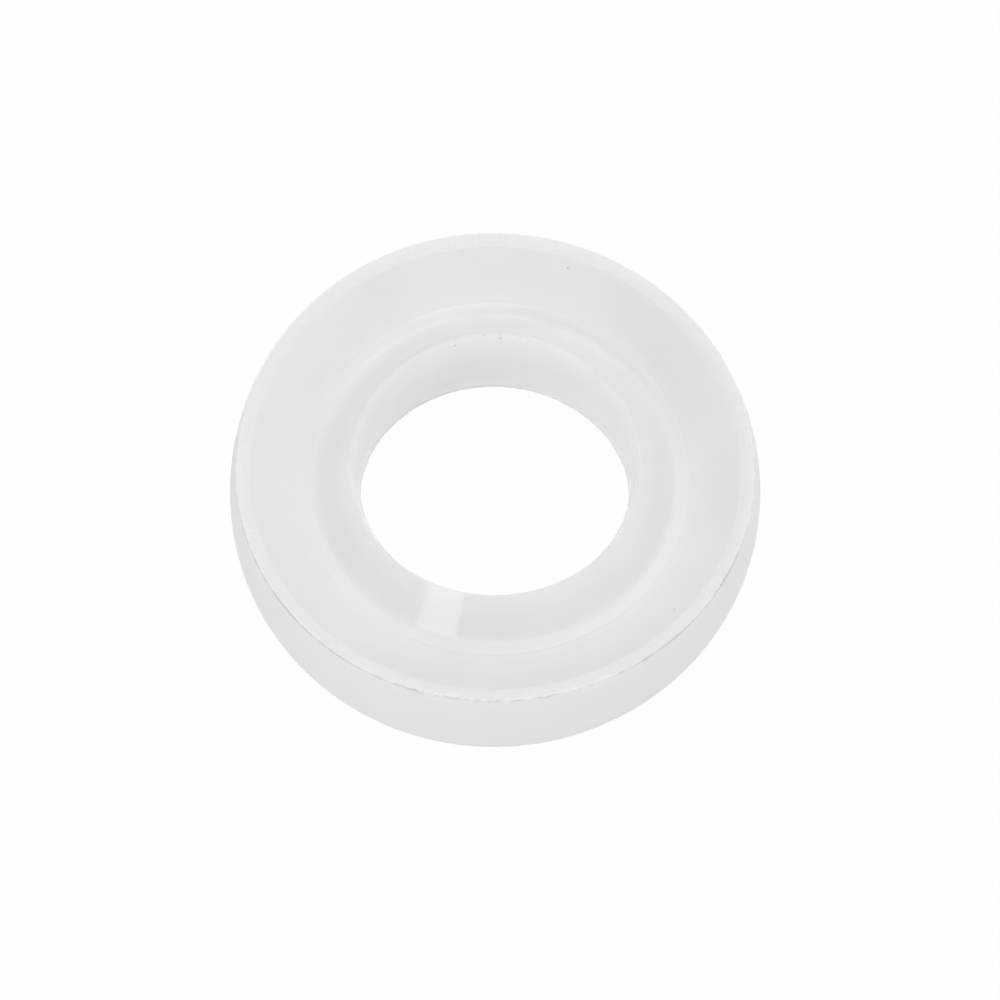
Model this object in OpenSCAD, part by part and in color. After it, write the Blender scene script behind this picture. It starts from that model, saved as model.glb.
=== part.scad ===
// Locking ring, moulded in one piece from milky plastic.
// The ring lies flat with its dished side up. The origin is on the axis, in the plane of the flat underside.
// Its section is a stout barrel: both walls bow towards the middle of their height, and the top is hollowed
// into a shallow valley between the outer rim and a raised lip round the bore.

/* [Outer wall] */
// Diameter across the widest line of the bowed outer wall
outer_d = 40; // [38:0.5:48]
// Height from the flat underside to the outer edge of the rim
height = 11; // [10:0.5:13]
// Height of the widest line above the underside
belly_h = 6.5; // [5:0.1:7.5]
// Radius of the bow that the outer wall follows from underside to rim
outer_bow_r = 14.4; // [12:0.1:30]
// Radius of the rounded edge between the outer wall and the underside
base_edge_r = 0.4; // [0.2:0.1:1]

/* [Rim] */
// Width of the narrow land on top of the rim, measured along the radius
rim_land_w = 1; // [0.5:0.1:1.6]
// How far the land falls from its outer edge to its inner edge
rim_land_fall = 0.4; // [0.1:0.1:0.8]
// Radius of the rounded inner edge of the land
rim_edge_r = 0.2; // [0.1:0.05:0.4]

/* [Valley] */
// Outer diameter of the narrow valley floor
floor_outer_d = 29.2; // [28.4:0.2:32]
// Inner diameter of the valley floor
floor_inner_d = 27.2; // [25.6:0.2:28]
// Depth of the floor's outer edge below the rim
floor_depth = 2.6; // [1.8:0.1:3.6]
// How much deeper the floor's inner edge lies
floor_fall = 0.3; // [0:0.1:0.6]
// Radius in the two corners of the valley floor
floor_corner_r = 0.5; // [0.2:0.1:0.8]

/* [Lip] */
// Diameter of the sharp edge of the lip, where the bore opens
lip_d = 21.6; // [21:0.1:22.6]
// Depth of that edge below the rim
lip_drop = 0.5; // [0:0.1:1.2]
// Width of the conical lip face, measured along the radius
lip_face_w = 0.9; // [0.5:0.1:1.3]
// How far the lip face falls towards the valley
lip_face_fall = 0.7; // [0.4:0.1:1.1]

/* [Bore] */
// Diameter of the straight land at the waist of the bore, which clears a 20 mm shaft
bore_d = 20.3; // [19:0.1:20.8]
// Length of that land along the axis
bore_land_l = 1.5; // [1:0.1:3]
// Height of the middle of the land above the underside
bore_land_h = 6.6; // [5:0.1:7.5]
// Diameter of the bore where its wall would meet the underside
bore_foot_d = 23.6; // [21.6:0.2:26]
// Radius of the rounded edge between the bore and the underside
bore_foot_edge_r = 0.3; // [0.1:0.1:0.6]

/* [Hidden] */

// Fineness of the turned surfaces and of the arcs in the section
turn_fn = 144;
wall_steps = 10;
edge_steps = 4;

outer_r = outer_d / 2;
bore_r = bore_d / 2;
lip = [lip_d / 2, height - lip_drop];

// Centre of the outer bow, on the level of the widest line
outer_bow = [outer_r - outer_bow_r, belly_h];
// Angle of the bow at the rim, and the rim's outer edge there
rim_angle = asin((height - belly_h) / outer_bow_r);
rim_outer = outer_bow + outer_bow_r * [cos(rim_angle), sin(rim_angle)];
rim_inner = rim_outer - [rim_land_w, rim_land_fall];

floor_outer = [floor_outer_d / 2, height - floor_depth];
floor_inner = [floor_inner_d / 2, height - floor_depth - floor_fall];
lip_face_foot = lip + [lip_face_w, -lip_face_fall];

// The bore's land, and the bows above and below it, which leave the land without a step
land_top = bore_land_h + bore_land_l / 2;
land_foot = bore_land_h - bore_land_l / 2;
upper_bow_r = tangent_bow_radius(lip.x - bore_r, lip.y - land_top);
lower_bow_r = tangent_bow_radius(bore_foot_d / 2 - bore_r, land_foot);
upper_bow = [bore_r + upper_bow_r, land_top];
lower_bow = [bore_r + lower_bow_r, land_foot];

// Centres of the rounded edges at the underside, each inside its wall's bow and touching it
outer_edge = foot_edge_centre(outer_bow, outer_bow_r, base_edge_r, 1);
bore_edge = foot_edge_centre(lower_bow, lower_bow_r, bore_foot_edge_r, -1);
outer_edge_angle = atan2(outer_edge.y - outer_bow.y, outer_edge.x - outer_bow.x);
bore_edge_angle = 360 + atan2(bore_edge.y - lower_bow.y, bore_edge.x - lower_bow.x);

// Radius of a bow that leaves an upright line and has moved out by dr after a height of dz
function tangent_bow_radius(dr, dz) = (dr * dr + dz * dz) / (2 * dr);

// Centre of a rounded edge of radius r that touches the underside and, from inside, a wall's bow
function foot_edge_centre(bow, bow_r, r, side) =
    [bow.x + side * sqrt(pow(bow_r - r, 2) - pow(bow.y - r, 2)), r];

// Points of an arc about a centre, from one angle to another
function arc(centre, r, from, to, steps) =
    [for (i = [0 : steps]) let (a = from + (to - from) * i / steps) centre + r * [cos(a), sin(a)]];

// Points that round the corner b of the outline a, b, c with radius r
function rounded_corner(a, b, c, r) =
    let (
        to_a = (a - b) / norm(a - b),
        to_c = (c - b) / norm(c - b),
        half = acos(to_a * to_c) / 2,
        centre = b + (to_a + to_c) / norm(to_a + to_c) * r / sin(half),
        start = b + to_a * r / tan(half) - centre,
        end = b + to_c * r / tan(half) - centre,
        from = atan2(start.y, start.x),
        turn = atan2(end.y, end.x) - from,
        short_turn = turn > 180 ? turn - 360 : turn < -180 ? turn + 360 : turn
    )
    arc(centre, r, from, from + short_turn, edge_steps);

// The section, from the underside up the outer wall, over the top and down the bore
section = concat(
    arc(outer_edge, base_edge_r, -90, outer_edge_angle, edge_steps),
    arc(outer_bow, outer_bow_r, outer_edge_angle, 0, wall_steps),
    arc(outer_bow, outer_bow_r, 0, rim_angle, wall_steps),
    rounded_corner(rim_outer, rim_inner, floor_outer, rim_edge_r),
    rounded_corner(rim_inner, floor_outer, floor_inner, floor_corner_r),
    rounded_corner(floor_outer, floor_inner, lip_face_foot, floor_corner_r),
    [lip_face_foot],
    arc(upper_bow, upper_bow_r, 180 - asin((lip.y - land_top) / upper_bow_r), 180, wall_steps),
    arc(lower_bow, lower_bow_r, 180, bore_edge_angle, wall_steps),
    arc(bore_edge, bore_foot_edge_r, bore_edge_angle, 270, edge_steps)
);

module locking_ring() {
    color([0.93, 0.94, 0.94])
        rotate_extrude($fn = turn_fn)
            polygon(section);
}

locking_ring();
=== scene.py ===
from math import acos, asin, atan2, cos, degrees, exp, pi, radians, sin, sqrt, tan

import bmesh
import bpy
from mathutils import Matrix, Vector, noise


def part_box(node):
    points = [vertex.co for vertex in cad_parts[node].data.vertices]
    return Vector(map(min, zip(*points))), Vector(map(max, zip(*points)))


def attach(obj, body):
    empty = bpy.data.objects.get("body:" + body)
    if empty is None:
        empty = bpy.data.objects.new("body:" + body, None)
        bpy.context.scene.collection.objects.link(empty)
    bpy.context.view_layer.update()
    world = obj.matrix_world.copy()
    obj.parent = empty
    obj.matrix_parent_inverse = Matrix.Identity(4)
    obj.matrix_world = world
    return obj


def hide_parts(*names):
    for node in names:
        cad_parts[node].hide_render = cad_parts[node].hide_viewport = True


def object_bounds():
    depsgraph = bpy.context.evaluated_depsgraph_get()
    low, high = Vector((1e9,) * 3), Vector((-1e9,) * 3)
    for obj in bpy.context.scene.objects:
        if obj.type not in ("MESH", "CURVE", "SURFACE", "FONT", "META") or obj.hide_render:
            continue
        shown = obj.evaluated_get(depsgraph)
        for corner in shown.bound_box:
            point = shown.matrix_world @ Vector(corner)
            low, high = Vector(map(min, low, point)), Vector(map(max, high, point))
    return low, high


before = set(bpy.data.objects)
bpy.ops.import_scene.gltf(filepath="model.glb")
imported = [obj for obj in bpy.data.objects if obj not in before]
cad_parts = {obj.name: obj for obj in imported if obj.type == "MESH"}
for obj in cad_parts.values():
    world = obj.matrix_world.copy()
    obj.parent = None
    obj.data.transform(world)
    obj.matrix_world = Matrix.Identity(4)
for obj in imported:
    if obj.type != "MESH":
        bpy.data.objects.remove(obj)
cadLow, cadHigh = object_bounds()
mm = 0.001  # sizes and places below are in millimetres on the ring's own axes, angles in degrees from +X


# Outline of a section: +X away from the axis, +Z up. Every point may carry marks, which become attributes:
# the face it is on, painted light, how wear moves it (reach, lift, groove), painted shade in torn edges,
# and pale frost on the flash that is partly a painted highlight

marks = ("wall", "land", "slope", "bore", "paintedGlow", "reach", "lift", "groove", "dark", "frost")


def startOutline(x, z):
    bm = bmesh.new()
    for mark in marks:
        bm.verts.layers.float.new(mark)
    tip = bmesh.ops.create_vert(bm, co=(x, 0, z))["vert"][0]
    return bm, tip


def markPoint(bm, tip, values):
    for mark in marks:
        tip[bm.verts.layers.float[mark]] = values.get(mark, 0)


def lineTo(bm, tip, point, cuts=0, **values):
    start = tip.co.copy()
    end = Vector((point[0], 0, point[1]))
    for step in range(cuts + 1):
        tip = bmesh.ops.extrude_vert_indiv(bm, verts=[tip])["verts"][0]
        tip.co = start.lerp(end, (step + 1) / (cuts + 1))
        markPoint(bm, tip, values)
    return tip


def arcTo(bm, tip, centre, sweep, steps):
    # a positive sweep turns from +X towards +Z
    spun = bmesh.ops.spin(bm, geom=[tip], cent=(centre[0], 0, centre[1]), axis=(0, -1, 0),
                          dvec=(0, 0, 0), angle=radians(sweep), steps=steps)
    return next(part for part in spun["geom_last"] if isinstance(part, bmesh.types.BMVert))


def roundCorner(bm, tip, corner, after, radius, steps, cuts=0, **values):
    corner = Vector(corner)
    back = (Vector((tip.co.x, tip.co.z)) - corner).normalized()
    ahead = (Vector(after) - corner).normalized()
    half = acos(back.dot(ahead)) / 2
    turn = 1 if back.y * ahead.x - back.x * ahead.y > 0 else -1
    centre = corner + (back + ahead).normalized() * radius / sin(half)
    tip = lineTo(bm, tip, corner + back * radius / tan(half), cuts, **values)
    return arcTo(bm, tip, centre, turn * (180 - 2 * degrees(half)), steps)


def sagTo(bm, tip, point, sag, steps, **values):
    # a shallow hollow from the tip to the point
    start = Vector((tip.co.x, tip.co.z))
    chord = Vector(point) - start
    radius = chord.length ** 2 / (8 * sag) + sag / 2
    side = Vector((chord.y, -chord.x)).normalized()
    centre = start + chord / 2 + side * (radius - sag)
    sweep = degrees(2 * asin(chord.length / (2 * radius)))
    markPoint(bm, tip, values)
    return arcTo(bm, tip, centre, -sweep, steps)


def tangentBow(dr, dz):
    # radius of a bow that leaves an upright line and has moved out by dr after a height of dz
    return (dr * dr + dz * dz) / (2 * dr)


def footEdge(bow, bowR, radius, side):
    # centre of a rounded edge that touches the underside and the inside of a wall's bow
    return Vector((bow[0] + side * sqrt((bowR - radius) ** 2 - (bow[1] - radius) ** 2), radius))


turning = {
    "sectors": 12,  # like sectors that a section is turned through
    "weld": 0.002,  # points nearer than this become one
    # a moulded ring isn't quite round: lobes, how far they stand out at the rim, and the angle of one
    "outOfRound": [(2, 0.06, 94), (3, 0.095, 97)],
}


def turnRound(bm, around):
    # one sector is spun and then repeated, which is quicker than one long spin
    turn = {"cent": (0, 0, 0), "axis": (0, 0, 1), "dvec": (0, 0, 0)}
    sector = 2 * pi / turning["sectors"]
    outline = bm.verts[:] + bm.edges[:]
    bmesh.ops.spin(bm, geom=outline, angle=sector, steps=around // turning["sectors"], **turn)
    bmesh.ops.spin(bm, geom=bm.verts[:] + bm.edges[:] + bm.faces[:], angle=2 * pi - sector,
                   steps=turning["sectors"] - 1, use_duplicate=True, **turn)
    bmesh.ops.remove_doubles(bm, verts=bm.verts, dist=turning["weld"])


def swellAt(angle, outerR):
    # how much larger than round the ring is in this direction
    out = sum(amount * cos(lobes * (angle - radians(at))) for lobes, amount, at in turning["outOfRound"])
    return 1 + out / outerR


def finishPiece(bm, name, sharpAngle):
    bmesh.ops.recalc_face_normals(bm, faces=bm.faces)
    bmesh.ops.scale(bm, vec=(mm, mm, mm), verts=bm.verts)
    for face in bm.faces:
        face.smooth = True
    mesh = bpy.data.meshes.new(name)
    bm.to_mesh(mesh)
    bm.free()
    mesh.set_sharp_from_angle(angle=radians(sharpAngle))
    piece = bpy.data.objects.new(name, mesh)
    bpy.context.scene.collection.objects.link(piece)
    return piece


ring = {
    "around": 1200,  # steps round the axis
    "sharpAngle": 50,  # edges that bend by more stay sharp
    "bellyHeight": 6.5, "outerBow": 14.4, "baseEdge": 0.4,
    "landWidth": 1.0, "landFall": 0.4, "landEdge": 0.1,
    "slopeSag": 0.1,  # hollow of the long slope from the land to the valley
    "slopeHead": 0.03, "slopeFoot": 0.2,  # straight stretches above and below the hollow
    "valleyOuterR": 14.6, "valleyInnerR": 13.6, "valleyDepth": 2.6, "valleyFall": 0.3,
    "outerFillet": 1.0, "innerFillet": 0.5,
    "lipR": 10.8, "lipDrop": 0.5, "lipFaceWidth": 0.9, "lipFaceFall": 0.7, "faceEdge": 0.3,
    "boreR": 10.15, "boreLand": 1.5, "boreLandHeight": 6.6, "boreFootR": 11.8, "boreFootEdge": 0.3,
    "steps": {"baseEdge": 4, "wall": 10, "landEdge": 2, "slope": 8, "outerFillet": 5, "innerFillet": 7,
              "faceEdge": 2, "boreBow": 6, "boreFootEdge": 3},
    "cuts": {"land": 1, "valleyFloor": 2, "lipCone": 4},  # extra points on straight stretches
    # painted light: paler bands where light gathers in the valley, and painted highlight lines at its
    # corners and on the lip cone: radius, half width and strength
    "paintedGlow": [(14.1, 1.1, 0.22), (14.6, 0.14, 0.14), (13.6, 0.2, 0.35), (11.8, 0.1, 0.2)],
}

# Mould flash: the torn edge of the rim and the small bead on the lip, drawn into the ring's own section.
# A point is (out, up) from the sharp edge, with how strongly each kind of wear moves it, paints shade
# under it or frosts it

rimFlash = {
    "drop": 0.30,  # depth below the edge at which it leaves the wall
    "section": [(0.048, -0.175, {"wall": 1, "reach": 0.4, "groove": 0.3, "dark": 0.8}),
                (0.010, -0.085, {"reach": 0.7, "groove": 1, "dark": 1}),
                (0.004, -0.025, {"land": 0.6, "reach": 1, "lift": 0.4, "dark": 0.5}),
                (-0.040, -0.010, {"land": 1, "reach": 0.9, "lift": 0.5, "dark": 0.1}),
                (-0.150, -0.058, {"land": 1, "reach": 0.3})],
    "outward": 1, "seed": 3.0,
    "shred": 0.42, "ragged": 0.11,  # length of a shred, and how far it moves the edge
    "grooveDepth": 0.06,
    "wear": 0.26, "wearChange": 0.85,  # how torn the edge is, and how much that comes and goes
    "worn": (277, 31.0, 1),  # the side on which it is torn
    "calm": 0.3,  # how ragged it is away from the rough places
    # places round the ring: angle, half width in millimetres and strength
    "rough": [(268, 6.0, 0.9), (290, 3.0, 0.4), (331, 2.5, 0.5), (215, 3.0, 0.3)],
    # deep tears, which deepen the groove and its painted shade
    "cracks": [(218, 8.5, 0.2), (314, 4.5, 0.3), (332, 1.75, 0.9), (340.4, 0.12, 0.8),
               (254.0, 0.35, 0.8), (260.2, 0.3, 0.6), (270.8, 0.12, 0.7), (282.5, 0.5, 0.5),
               (304.4, 0.22, 0.8), (218.5, 1.5, 0.55), (210.5, 1.2, 0.35), (226, 2.2, 0.25),
               (312, 2.5, 0.2), (267.2, 0.2, 0.5), (269.0, 0.15, 0.5)],
    "nubs": [(254.6, 0.3, 0.16), (268.0, 0.22, 0.17), (281.2, 0.4, 0.09), (286, 0.5, -0.05),
             (248, 0.6, -0.05), (304.2, 0.15, 0.06), (262, 0.4, -0.04), (274, 0.4, 0.04)],
}
lipFlash = {
    "drop": 0.12,
    "section": [(0.110, -0.084, {"lift": 0.2}),
                (0.045, -0.022, {"reach": 0.5, "lift": 0.8, "frost": 0.4}),
                (-0.002, 0.004, {"reach": 1, "lift": 1, "frost": 1, "dark": 0.3}),
                (-0.034, -0.048, {"reach": 0.7, "lift": 0.4, "frost": 0.6, "dark": 1})],
    "outward": -1, "seed": 41.0,
    "shred": 0.3, "ragged": 0.02, "grooveDepth": 0.03,
    "wear": -0.1, "wearChange": 0.3, "worn": (85, 12.0, 1), "calm": 0.05,
    "rough": [(85, 4.0, 1.0), (60, 2.0, 0.4), (10, 2.0, 0.5), (285, 2.0, 0.4)],
    "cracks": [(94.5, 0.12, 0.7), (106.7, 0.12, 0.8), (88, 0.12, 0.8), (69, 0.2, 0.8), (65.5, 0.25, 0.5)],
    "nubs": [(104.3, 0.25, 0.08), (80, 0.28, 0.10), (76.5, 0.2, 0.05), (70, 0.2, 0.05), (271, 0.15, 0.04)],
}
tearing = {
    # the noise of each kind of wear: spacing against a shred's length, seed and octaves
    "edge": (1, 0, 4), "tear": (2.5, 8, 4), "pale": (4, 16, 3),
    "noiseFade": 0.7, "noiseStep": 2.1,  # how much weaker and finer each octave is
    "nubOut": 0.6, "up": 0.5,  # how far nubs stand out, and how far all of it stands up
    "paleShare": 0.45,  # how much of the edge is pale
}


def wander(angle, radius, size, kind):
    # rough noise from about -1 to 1 along a circle, which closes on itself
    spacing, seed, octaves = tearing[kind]
    spacing *= size["shred"]
    place = Vector((radius * cos(angle) / spacing, radius * sin(angle) / spacing, size["seed"] + seed))
    return noise.fractal(place, tearing["noiseFade"], tearing["noiseStep"], octaves)


def hill(angle, radius, places):
    # sum of flat-topped hills at the listed places
    total = 0
    for at, halfWidth, strength in places:
        away = (angle - radians(at) + pi) % (2 * pi) - pi
        total += strength * exp(-(away * radius / halfWidth) ** 4)
    return total


def tearEdge(bm, size, corner):
    layer = bm.verts.layers.float
    reach, lift, groove = layer["reach"], layer["lift"], layer["groove"]
    dark, frost = layer["dark"], layer["frost"]
    for v in bm.verts:
        if v[reach] + v[lift] + v[dark] == 0 or abs(v.co.xy.length - corner.x) > size["drop"]:
            continue
        angle = atan2(v.co.y, v.co.x)
        out = Vector((cos(angle), sin(angle), 0))
        rough = size["calm"] + hill(angle, corner.x, size["rough"])
        ragged = size["ragged"] * rough * wander(angle, corner.x, size, "edge")
        nub = hill(angle, corner.x, size["nubs"])
        tear = size["wear"] + size["wearChange"] * wander(angle, corner.x, size, "tear")
        tear = max(tear, 0) * hill(angle, corner.x, [size["worn"]])
        tear = min(tear + hill(angle, corner.x, size["cracks"]), 1)
        pale = tearing["paleShare"] + wander(angle, corner.x, size, "pale")
        sideways = v[reach] * (ragged + tearing["nubOut"] * nub) - v[groove] * size["grooveDepth"] * tear
        v.co += out * size["outward"] * sideways
        v.co.z += v[lift] * tearing["up"] * (ragged + max(nub, 0))
        # painted shade in the groove under the torn flash, as strong as the tear
        v[dark] = v[dark] * tear
        # pale frost in patches, partly a painted highlight on the flash's crest
        v[frost] = v[frost] * min(max(pale, 0), 1) * min(rough, 1)


def ringCorners(size, outerR, height):
    outerBow = Vector((outerR - size["outerBow"], size["bellyHeight"]))
    rimAngle = asin((height - outerBow.y) / size["outerBow"])
    rim = outerBow + size["outerBow"] * Vector((cos(rimAngle), sin(rimAngle)))
    lip = Vector((size["lipR"], height - size["lipDrop"]))
    return outerBow, rim, lip


def drawFlash(bm, tip, size, corner):
    for dr, dz, values in size["section"]:
        tip = lineTo(bm, tip, (corner.x + dr, corner.y + dz), **values)
    return tip


def drawRing(size, outerBow, rim, lip):
    steps, cuts = size["steps"], size["cuts"]
    floorOuter = Vector((size["valleyOuterR"], rim.y - size["valleyDepth"]))
    floorInner = Vector((size["valleyInnerR"], floorOuter.y - size["valleyFall"]))
    landInner = rim - Vector((size["landWidth"], size["landFall"]))
    faceFoot = lip + Vector((size["lipFaceWidth"], -size["lipFaceFall"]))
    landTop = size["boreLandHeight"] + size["boreLand"] / 2
    landFoot = size["boreLandHeight"] - size["boreLand"] / 2
    upperR = tangentBow(lip.x - size["boreR"], lip.y - landTop)
    lowerR = tangentBow(size["boreFootR"] - size["boreR"], landFoot)
    upperBow = Vector((size["boreR"] + upperR, landTop))
    lowerBow = Vector((size["boreR"] + lowerR, landFoot))

    # up the outer wall
    edge = footEdge(outerBow, size["outerBow"], size["baseEdge"], 1)
    edgeAngle = degrees(atan2(edge.y - outerBow.y, edge.x - outerBow.x))
    wallAngle = degrees(asin((rim.y - rimFlash["drop"] - outerBow.y) / size["outerBow"]))
    bm, tip = startOutline(edge.x, 0)
    markPoint(bm, tip, {"wall": 1})
    foot = tip
    tip = arcTo(bm, tip, edge, 90 + edgeAngle, steps["baseEdge"])
    tip = arcTo(bm, tip, outerBow, wallAngle - edgeAngle, steps["wall"])
    # over the rim and the land
    tip = drawFlash(bm, tip, rimFlash, rim)
    tip = roundCorner(bm, tip, landInner, floorOuter, size["landEdge"], steps["landEdge"],
                      cuts["land"], land=1)
    # down into the valley and up to the lip
    landEnd = Vector((tip.co.x, tip.co.z))
    downhill = (floorOuter - landEnd).normalized()
    slopeEnd = floorOuter - downhill * size["slopeFoot"]
    tip = lineTo(bm, tip, landEnd + downhill * size["slopeHead"])
    tip = sagTo(bm, tip, slopeEnd, size["slopeSag"], steps["slope"], slope=1)
    tip = roundCorner(bm, tip, floorOuter, floorInner, size["outerFillet"], steps["outerFillet"])
    tip = roundCorner(bm, tip, floorInner, faceFoot, size["innerFillet"], steps["innerFillet"],
                      cuts["valleyFloor"])
    tip = roundCorner(bm, tip, faceFoot, lip, size["faceEdge"], steps["faceEdge"], cuts["lipCone"])
    tip = drawFlash(bm, tip, lipFlash, lip)
    # down the bore: upper bow, straight land, lower bow
    topAngle = degrees(asin((lip.y - lipFlash["drop"] - upperBow.y) / upperR))
    onBow = upperBow + upperR * Vector((-cos(radians(topAngle)), sin(radians(topAngle))))
    tip = lineTo(bm, tip, onBow, bore=1)
    tip = arcTo(bm, tip, upperBow, topAngle, steps["boreBow"])
    tip = lineTo(bm, tip, (size["boreR"], landFoot), bore=1)
    edge = footEdge(lowerBow, lowerR, size["boreFootEdge"], -1)
    edgeAngle = degrees(atan2(lowerBow.y - edge.y, lowerBow.x - edge.x))
    tip = arcTo(bm, tip, lowerBow, edgeAngle, steps["boreBow"])
    tip = arcTo(bm, tip, edge, 90 - edgeAngle, steps["boreFootEdge"])
    # back along the flat underside
    lineTo(bm, tip, (foot.co.x, 0))
    bmesh.ops.remove_doubles(bm, verts=bm.verts, dist=turning["weld"])
    return bm


def makeRing(outerR, height):
    outerBow, rim, lip = ringCorners(ring, outerR, height)
    bm = drawRing(ring, outerBow, rim, lip)
    # painted light: paler bands and highlight lines in the valley and on the lip cone
    paintedGlow = bm.verts.layers.float["paintedGlow"]
    for v in bm.verts:
        if v.co.z < ring["bellyHeight"]:
            continue
        for at, halfWidth, strength in ring["paintedGlow"]:
            v[paintedGlow] += strength * exp(-((v.co.x - at) / halfWidth) ** 2)
    turnRound(bm, ring["around"])
    tearEdge(bm, rimFlash, rim)
    tearEdge(bm, lipFlash, lip)
    for v in bm.verts:
        swell = swellAt(atan2(v.co.y, v.co.x), outerR)
        v.co.x *= swell
        v.co.y *= swell
    return finishPiece(bm, "moulded_ring", ring["sharpAngle"])


plastic = {
    "colour": (0.84, 0.84, 0.84, 1), "cloud": (0.87, 0.87, 0.87, 1),  # milky, with faint clouds
    # painted light: the outer wall is paler, to lift its shading
    "wallPaintedLight": (0.88, 0.88, 0.88, 1),
    "borePaintedGlow": (0.96, 0.96, 0.96, 1),  # painted glow: the inside is paler in place of light that comes through the walls
    "landColour": (0.85, 0.85, 0.85, 1), "landPale": (0.89, 0.89, 0.89, 1),
    # the colour of the real dark specks and of the painted shade in the torn edges
    # the flash's pale frost, partly a painted highlight
    "flashFrostAndHighlight": (0.92, 0.92, 0.92, 1), "speckAndShadeColour": (0.60, 0.60, 0.60, 1),
    # painted light for the valley and its highlight lines
    "paintedLightColour": (0.98, 0.98, 0.98, 1),
    "ior": 1.5, "gloss": 0.3,
    "roughness": 0.10, "slopeRoughness": 0.3, "wallRoughness": 0.35, "landRoughness": 0.45,
    "milkiness": 0.7, "depth": 0.6,  # how strongly light spreads inside, and how far
    # patterns: spacing, detail, and the levels of the noise at which they start and are full
    "clouds": (9.0, 3, 0.35, 0.65), "frost": (0.22, 4, 0.3, 0.7), "grain": (0.12, 2, 0, 1),
    "grainDepth": 0.0006, "frostDepth": 0.003,
    "speckCore": 0.4, "speckEdge": 1.6,  # shares of a speck's size at which it is full and ends
    # dark specks in the plastic: angle, radius, height and size
    "specks": [(72.0, 17.65, 10.19, 0.085), (318.5, 17.49, 10.09, 0.08), (106.75, 10.56, 9.9, 0.08),
               (88.0, 10.63, 10.13, 0.08), (37.75, 10.24, 4.41, 0.08), (109.5, 10.42, 3.4, 0.07)],
}


def attribute(nodes, name):
    node = nodes.new("ShaderNodeAttribute")
    node.attribute_name = name
    return node.outputs["Fac"]


def mixColour(nodes, links, factor, first, second):
    node = nodes.new("ShaderNodeMix")
    node.data_type = "RGBA"
    links.new(factor, node.inputs["Factor"])
    for socket, value in zip((node.inputs["A"], node.inputs["B"]), (first, second)):
        if isinstance(value, tuple):
            socket.default_value = value
        else:
            links.new(value, socket)
    return node.outputs["Result"]


def combine(nodes, links, operation, first, second):
    node = nodes.new("ShaderNodeMath")
    node.operation = operation
    for socket, value in zip(node.inputs, (first, second)):
        if isinstance(value, (int, float)):
            socket.default_value = value
        else:
            links.new(value, socket)
    return node.outputs["Value"]


def noisePattern(nodes, links, place, spacing, detail, low, high):
    # noise of the given spacing, stretched so that it runs from 0 at low to 1 at high
    pattern = nodes.new("ShaderNodeTexNoise")
    pattern.inputs["Scale"].default_value = 1 / (spacing * mm)
    pattern.inputs["Detail"].default_value = detail
    links.new(place, pattern.inputs["Vector"])
    stretch = nodes.new("ShaderNodeMapRange")
    stretch.inputs["From Min"].default_value = low
    stretch.inputs["From Max"].default_value = high
    links.new(pattern.outputs["Fac"], stretch.inputs["Value"])
    return stretch.outputs["Result"]


def speckPattern(nodes, links, place, outerR):
    total = None
    for angle, radius, height, size in plastic["specks"]:
        radius *= swellAt(radians(angle), outerR)
        turned = Vector((cos(radians(angle)), sin(radians(angle)), 0)) * radius
        away = nodes.new("ShaderNodeVectorMath")
        away.operation = "DISTANCE"
        away.inputs[1].default_value = (turned + Vector((0, 0, height))) * mm
        links.new(place, away.inputs[0])
        spot = nodes.new("ShaderNodeMapRange")
        spot.inputs["From Min"].default_value = size * plastic["speckEdge"] * mm
        spot.inputs["From Max"].default_value = size * plastic["speckCore"] * mm
        links.new(away.outputs["Value"], spot.inputs["Value"])
        shape = spot.outputs["Result"]
        total = shape if total is None else combine(nodes, links, "MAXIMUM", total, shape)
    return total


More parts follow.
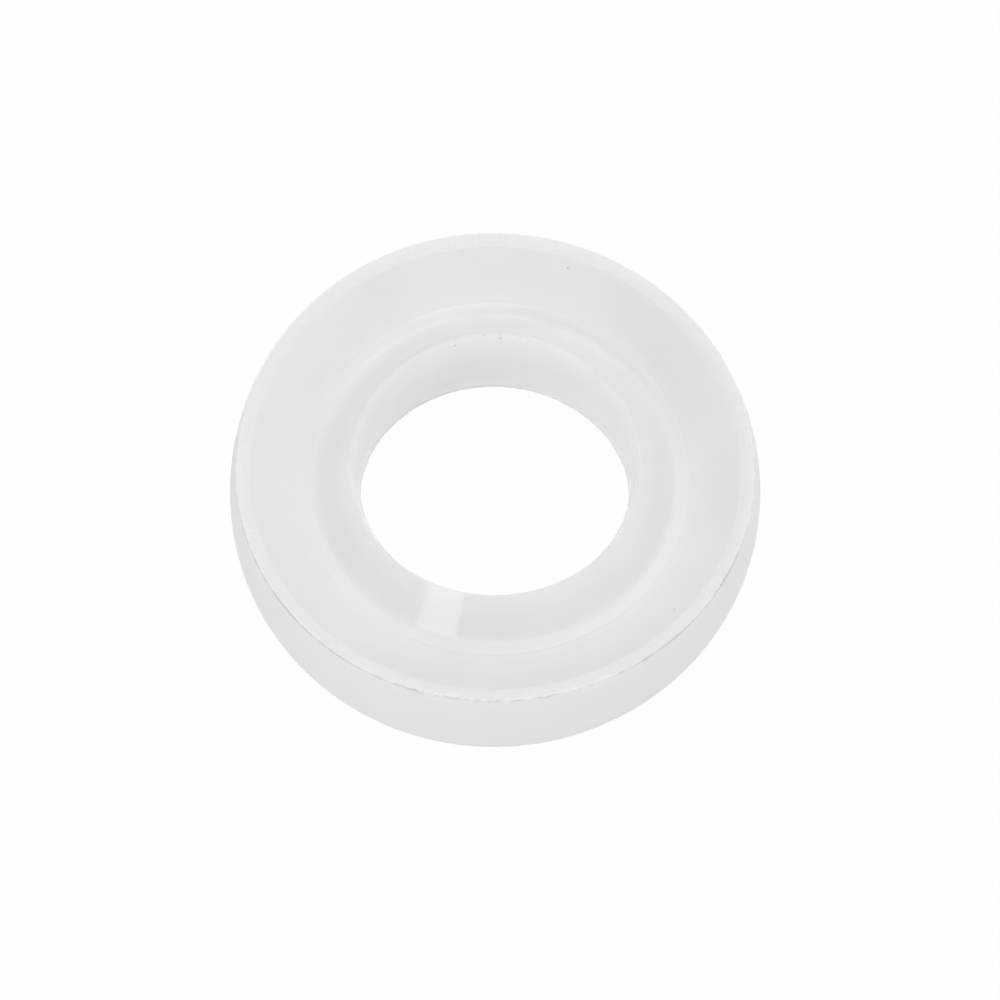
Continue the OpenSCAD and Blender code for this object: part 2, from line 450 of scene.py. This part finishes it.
def milkyPlastic(outerR):
    material = bpy.data.materials.new("milky_plastic")
    material.use_nodes = True
    nodes, links = material.node_tree.nodes, material.node_tree.links
    shader = nodes["Principled BSDF"]
    shader.inputs["IOR"].default_value = plastic["ior"]
    shader.inputs["Specular IOR Level"].default_value = plastic["gloss"]
    shader.inputs["Subsurface Weight"].default_value = plastic["milkiness"]
    shader.inputs["Subsurface Radius"].default_value = (1, 1, 1)
    shader.inputs["Subsurface Scale"].default_value = plastic["depth"] * mm

    place = nodes.new("ShaderNodeTexCoord").outputs["Object"]
    land = attribute(nodes, "land")
    bore = attribute(nodes, "bore")
    frost = attribute(nodes, "frost")
    clouds = noisePattern(nodes, links, place, *plastic["clouds"])
    pebbles = noisePattern(nodes, links, place, *plastic["frost"])
    colour = mixColour(nodes, links, clouds, plastic["colour"], plastic["cloud"])
    # painted light on the outer wall
    colour = mixColour(nodes, links, attribute(nodes, "wall"), colour, plastic["wallPaintedLight"])
    # painted glow in the bore
    colour = mixColour(nodes, links, bore, colour, plastic["borePaintedGlow"])
    # painted light and highlight lines in the valley and on the lip cone
    colour = mixColour(nodes, links, attribute(nodes, "paintedGlow"), colour, plastic["paintedLightColour"])
    landColour = mixColour(nodes, links, pebbles, plastic["landColour"], plastic["landPale"])
    colour = mixColour(nodes, links, land, colour, landColour)
    # pale frost on the flash, partly a painted highlight
    colour = mixColour(nodes, links, frost, colour, plastic["flashFrostAndHighlight"])
    specks = speckPattern(nodes, links, place, outerR)
    # painted shade in the torn edges and under the lip's bead, and the real dark specks in the plastic
    dark = combine(nodes, links, "MAXIMUM", attribute(nodes, "dark"), specks)
    colour = mixColour(nodes, links, dark, colour, plastic["speckAndShadeColour"])
    links.new(colour, shader.inputs["Base Color"])

    onWall = combine(nodes, links, "MULTIPLY", attribute(nodes, "wall"), plastic["wallRoughness"])
    frosted = combine(nodes, links, "MAXIMUM", land, frost)
    onLand = combine(nodes, links, "MULTIPLY", frosted, plastic["landRoughness"])
    onSlope = combine(nodes, links, "MULTIPLY", attribute(nodes, "slope"), plastic["slopeRoughness"])
    rough = combine(nodes, links, "MAXIMUM", onSlope, plastic["roughness"])
    for part in (onWall, onLand):
        rough = combine(nodes, links, "MAXIMUM", rough, part)
    links.new(rough, shader.inputs["Roughness"])

    grain = noisePattern(nodes, links, place, *plastic["grain"])
    fine = nodes.new("ShaderNodeBump")
    fine.inputs["Distance"].default_value = plastic["grainDepth"] * mm
    links.new(grain, fine.inputs["Height"])
    coarse = nodes.new("ShaderNodeBump")
    coarse.inputs["Distance"].default_value = plastic["frostDepth"] * mm
    links.new(combine(nodes, links, "MULTIPLY", pebbles, land), coarse.inputs["Height"])
    links.new(fine.outputs["Normal"], coarse.inputs["Normal"])
    links.new(coarse.outputs["Normal"], shader.inputs["Normal"])
    return material


floor = {
    "halfWidth": 900, "below": 0.01,  # a hair under the ring, so that the two faces don't coincide
    "colour": (0.97, 0.97, 0.97, 1),
    "white": 0.97,  # share of plain white that is seen; the rest is the floor itself, with the shadow
    "bounce": (0.97, 0.97, 0.97, 1),  # what the floor throws back on the ring
    # painted glow on the floor in the bore, for light through the plastic: radii where it ends and is full
    "insideGlow": 0.11, "inside": (16, 15),
    "shade": (22, 60),  # the ring reflects the floor's own shade near it, and plain white further out
}
world = {"strength": 0.30}
# each lamp's direction is from the ring, in degrees: azimuth 0 is the camera's side and 90 the right
lampDistance = 500
lamps = {
    "leftBox": {"azimuth": -27, "elevation": 35, "size": (150, 150), "radiance": 3.7},
    "topBox": {"azimuth": 0, "elevation": 80, "size": (320, 70), "radiance": 6.2},
    "backBox": {"azimuth": 180, "elevation": 48, "size": (500, 660), "radiance": 0.9},
    "frontLeft": {"azimuth": -45, "elevation": 12, "size": (500, 150), "radiance": 1.31},
    "frontRight": {"azimuth": 45, "elevation": 12, "size": (500, 150), "radiance": 1.14},
    "overCamera": {"azimuth": 0, "elevation": 60, "size": (300, 300), "radiance": 0.25},
    "rightFill": {"azimuth": 98, "elevation": 34, "size": (500, 330), "radiance": 0.88},
    "leftFill": {"azimuth": -85, "elevation": 38, "size": (500, 330), "radiance": 0.36},
}
camera = {
    "distance": 250.25, "elevation": 63.605, "roll": 0.368,
    "lens": 121.41, "shiftX": 0.00511, "shiftY": -0.04032,
    "nearest": 10,  # what is nearer isn't seen
}


def seenDirectly(nodes, links, reflected=None):
    # 1 for what is seen directly, in reflections and through glass, and 0 for light on the ring
    path = nodes.new("ShaderNodeLightPath").outputs
    seen = combine(nodes, links, "MAXIMUM", path["Is Glossy Ray"], path["Is Transmission Ray"])
    if reflected is not None:
        seen = combine(nodes, links, "MULTIPLY", seen, reflected)
    return combine(nodes, links, "MAXIMUM", seen, path["Is Camera Ray"])


def fromAxis(nodes, links, zeroAt, oneAt):
    # 0 at one distance from the axis and 1 at the other, and level past both
    apart = nodes.new("ShaderNodeVectorMath")
    apart.operation = "LENGTH"
    links.new(nodes.new("ShaderNodeTexCoord").outputs["Object"], apart.inputs[0])
    spread = nodes.new("ShaderNodeMapRange")
    spread.inputs["From Min"].default_value = zeroAt * mm
    spread.inputs["From Max"].default_value = oneAt * mm
    links.new(apart.outputs["Value"], spread.inputs["Value"])
    return spread.outputs["Result"]


def makeFloor():
    bm = bmesh.new()
    level = Matrix.Translation((0, 0, -floor["below"] * mm))
    bmesh.ops.create_grid(bm, x_segments=1, y_segments=1, size=floor["halfWidth"] * mm, matrix=level)
    mesh = bpy.data.meshes.new("floor")
    bm.to_mesh(mesh)
    bm.free()
    piece = bpy.data.objects.new("floor", mesh)
    bpy.context.scene.collection.objects.link(piece)
    material = bpy.data.materials.new("pale_floor")
    material.use_nodes = True
    nodes, links = material.node_tree.nodes, material.node_tree.links
    nodes.remove(nodes["Principled BSDF"])
    bounce = nodes.new("ShaderNodeBsdfDiffuse")
    bounce.inputs["Color"].default_value = floor["bounce"]
    # painted glow on the floor in the bore
    paintedGlow = nodes.new("ShaderNodeEmission")
    inside = fromAxis(nodes, links, *floor["inside"])
    links.new(combine(nodes, links, "MULTIPLY", inside, floor["insideGlow"]), paintedGlow.inputs["Strength"])
    bright = nodes.new("ShaderNodeAddShader")
    links.new(bounce.outputs["BSDF"], bright.inputs[0])
    links.new(paintedGlow.outputs["Emission"], bright.inputs[1])
    pale = nodes.new("ShaderNodeBsdfDiffuse")
    pale.inputs["Color"].default_value = floor["colour"]
    seen = nodes.new("ShaderNodeMixShader")
    seen.inputs["Fac"].default_value = floor["white"]
    links.new(pale.outputs["BSDF"], seen.inputs[1])
    links.new(nodes.new("ShaderNodeEmission").outputs["Emission"], seen.inputs[2])
    both = nodes.new("ShaderNodeMixShader")
    links.new(seenDirectly(nodes, links, fromAxis(nodes, links, *floor["shade"])), both.inputs["Fac"])
    links.new(bright.outputs["Shader"], both.inputs[1])
    links.new(seen.outputs["Shader"], both.inputs[2])
    links.new(both.outputs["Shader"], nodes["Material Output"].inputs["Surface"])
    mesh.materials.append(material)


def makeWorld():
    sky = bpy.data.worlds.new("studio")
    bpy.context.scene.world = sky
    sky.use_nodes = True
    nodes, links = sky.node_tree.nodes, sky.node_tree.links
    light = nodes["Background"]
    light.inputs["Color"].default_value = (1, 1, 1, 1)
    light.inputs["Strength"].default_value = world["strength"]
    white = nodes.new("ShaderNodeBackground")
    white.inputs["Color"].default_value = (1, 1, 1, 1)
    both = nodes.new("ShaderNodeMixShader")
    links.new(seenDirectly(nodes, links), both.inputs["Fac"])
    links.new(light.outputs["Background"], both.inputs[1])
    links.new(white.outputs["Background"], both.inputs[2])
    links.new(both.outputs["Shader"], nodes["World Output"].inputs["Surface"])


def makeLamp(name, size):
    azimuth, elevation = radians(size["azimuth"]), radians(size["elevation"])
    back = Vector((sin(azimuth) * cos(elevation), -cos(azimuth) * cos(elevation), sin(elevation)))
    data = bpy.data.lights.new(name, "AREA")
    data.shape = "RECTANGLE"
    data.size, data.size_y = size["size"][0] * mm, size["size"][1] * mm
    data.energy = size["radiance"] * pi * data.size * data.size_y
    lamp = bpy.data.objects.new(name, data)
    bpy.context.scene.collection.objects.link(lamp)
    lamp.location = back * lampDistance * mm
    lamp.rotation_euler = back.to_track_quat("Z", "Y").to_euler()
    lamp.visible_camera = False


def makeCamera(target):
    tilt = radians(camera["elevation"])
    data = bpy.data.cameras.new("camera")
    data.lens = camera["lens"]
    data.shift_x, data.shift_y = camera["shiftX"], camera["shiftY"]
    data.clip_start = camera["nearest"] * mm
    view = bpy.data.objects.new("camera", data)
    bpy.context.scene.collection.objects.link(view)
    place = target + camera["distance"] * mm * Vector((0, -cos(tilt), sin(tilt)))
    view.matrix_world = (Matrix.Translation(place) @ Matrix.Rotation(pi / 2 - tilt, 4, "X")
                         @ Matrix.Rotation(radians(camera["roll"]), 4, "Z"))
    bpy.context.scene.camera = view


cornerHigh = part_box("locking_ring")[1]
outerR, height = cornerHigh.x / mm, cornerHigh.z / mm
ringPiece = makeRing(outerR, height)
print("ring:", len(ringPiece.data.polygons), "faces")
ringPiece.data.materials.append(milkyPlastic(outerR))
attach(ringPiece, "root")
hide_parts("locking_ring")

makeFloor()
makeWorld()
for name, size in lamps.items():
    makeLamp(name, size)
makeCamera(Vector((0, 0, cadHigh.z)))
bpy.context.scene.view_settings.view_transform = "Standard"
print("floor, light and camera are set")
